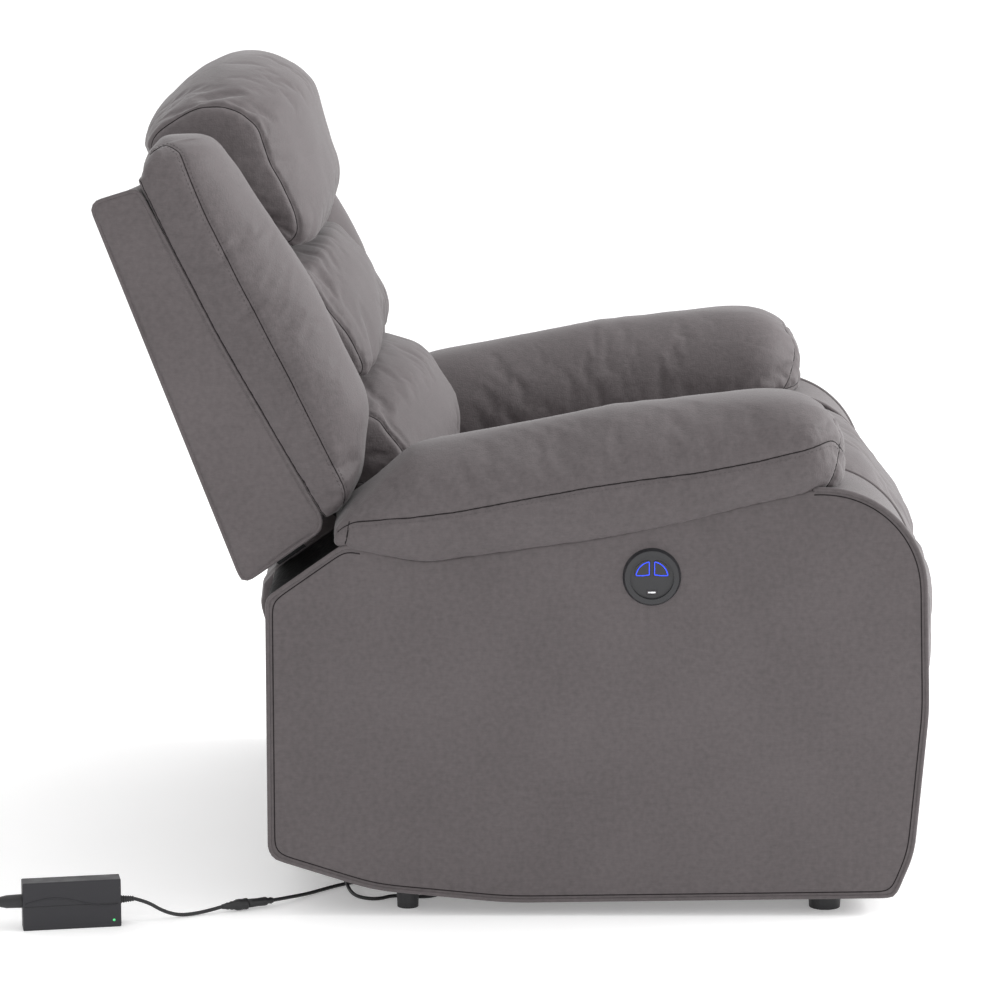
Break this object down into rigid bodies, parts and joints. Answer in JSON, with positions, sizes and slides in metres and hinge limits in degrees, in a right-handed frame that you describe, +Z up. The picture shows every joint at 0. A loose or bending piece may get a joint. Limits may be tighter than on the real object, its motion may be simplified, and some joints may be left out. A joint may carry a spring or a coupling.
{
  "type": "recliner armchair",
  "caption": "Upholstered powered recliner armchair with pillow-top arms, wing back, folding footrest, control panel in the right arm and a mains adapter on its lead.",
  "frame": {"origin": "on the floor under the middle of the chair", "axes": "+Z up, -Y the front that the sitter faces, +X the sitter's left"},
  "size_m": [1.0138, 1.3208, 1.0336],
  "materials": {
    "upholstery": "matte",
    "upholstery_back": "matte",
    "lining": "matte",
    "board": "matte",
    "timber": "matte",
    "spring_steel": "satin",
    "mechanism_steel": "satin",
    "pin_steel": "satin",
    "foot_plastic": "matte",
    "control_plastic": "satin",
    "button_light": "gloss",
    "usb_shell": "polished",
    "usb_tongue": "satin",
    "motor_plastic": "matte",
    "rod_steel": "polished",
    "cable": "satin",
    "adapter_plastic": "satin",
    "plug_plastic": "satin",
    "indicator": "gloss",
    "thread": "matte"
  },
  "bodies": {
    "base": {"actuator_motor": "motor_plastic", "actuator_tube": "motor_plastic", "adapter": "adapter_plastic", "adapter_lead": "cable", "arm_battens": "timber", "arm_boards_left": "board", "arm_boards_right": "board", "arm_cover_left": "upholstery", "arm_cover_right": "upholstery", "arm_pad_left": "upholstery", "arm_pad_right": "upholstery", "base_pins": "pin_steel", "cable_gland": "plug_plastic", "chair_lead": "cable", "control_panel": "control_plastic", "foot_front_left": "foot_plastic", "foot_front_right": "foot_plastic", "foot_rear_left": "foot_plastic", "foot_rear_right": "foot_plastic", "inline_connector": "plug_plastic", "mains_coil": "cable", "mains_connector": "plug_plastic", "mains_lead": "cable", "mains_plug": "plug_plastic", "mechanism_plate_left": "mechanism_steel", "mechanism_plate_right": "mechanism_steel", "rear_flap": "upholstery_back", "rear_panel": "upholstery_back", "seat_cross_rails": "timber", "seat_cushion": "upholstery", "seat_side_rails": "timber", "seat_springs": "spring_steel", "strain_relief": "plug_plastic", "usb_port": "usb_shell"},
    "backrest": {"back_posts": "timber", "back_rails": "timber", "back_rear_panel": "upholstery_back", "back_core": "lining", "back_side_panel_left": "upholstery_back", "back_side_panel_right": "upholstery_back", "back_wing_left": "upholstery", "back_wing_right": "upholstery", "head_pillow": "upholstery", "lumbar_middle": "upholstery", "lumbar_lower": "upholstery", "back_bracket_left": "mechanism_steel", "back_bracket_right": "mechanism_steel"},
    "rear_links": {"rear_link_left": "mechanism_steel", "rear_link_right": "mechanism_steel", "torque_tube": "mechanism_steel", "elbow_pins": "pin_steel"},
    "front_links": {"front_link_left": "mechanism_steel", "front_link_right": "mechanism_steel", "tip_pins": "pin_steel"},
    "footrest": {"footrest_board": "board", "footrest_pad": "upholstery", "footrest_brackets": "mechanism_steel"},
    "rod": {"actuator_rod": "rod_steel"},
    "open_button": {"button_open": "control_plastic"},
    "close_button": {"button_close": "control_plastic"}
  },
  "joints": [
    {"name": "recline", "type": "hinge", "parent": "base", "child": "backrest", "pos_m": [0, 0.13, 0.3], "axis": [-1, 0, 0], "range_deg": [0, 35]},
    {"name": "footrest_lift", "type": "hinge", "parent": "base", "child": "rear_links", "pos_m": [0, -0.34, 0.36], "axis": [-1, 0, 0], "range_deg": [0, 100.8]},
    {"name": "footrest_elbow", "type": "hinge", "parent": "rear_links", "child": "front_links", "pos_m": [0, -0.193, 0.17], "axis": [1, 0, 0], "range_deg": [0, 103]},
    {"name": "footrest_tilt", "type": "hinge", "parent": "front_links", "child": "footrest", "pos_m": [0, -0.395, 0.3], "axis": [-1, 0, 0], "range_deg": [0, 92.2]},
    {"name": "actuator_stroke", "type": "slide", "parent": "base", "child": "rod", "axis": [0, -1, 0], "range_m": [0, 0.093]},
    {"name": "open_press", "type": "slide", "parent": "base", "child": "open_button", "axis": [1, 0, 0], "range_m": [0, 0.0012], "stiffness_N_per_m": 600, "springref_m": -0.001},
    {"name": "close_press", "type": "slide", "parent": "base", "child": "close_button", "axis": [1, 0, 0], "range_m": [0, 0.0012], "stiffness_N_per_m": 600, "springref_m": -0.001}
  ],
  "couplings": [
    {"joint": "footrest_elbow", "follows": "footrest_lift", "ratio": 1.0189},
    {"joint": "footrest_tilt", "follows": "footrest_lift", "ratio": 0.91171},
    {"joint": "actuator_stroke", "follows": "footrest_lift", "m_per_rad": 0.052578}
  ]
}
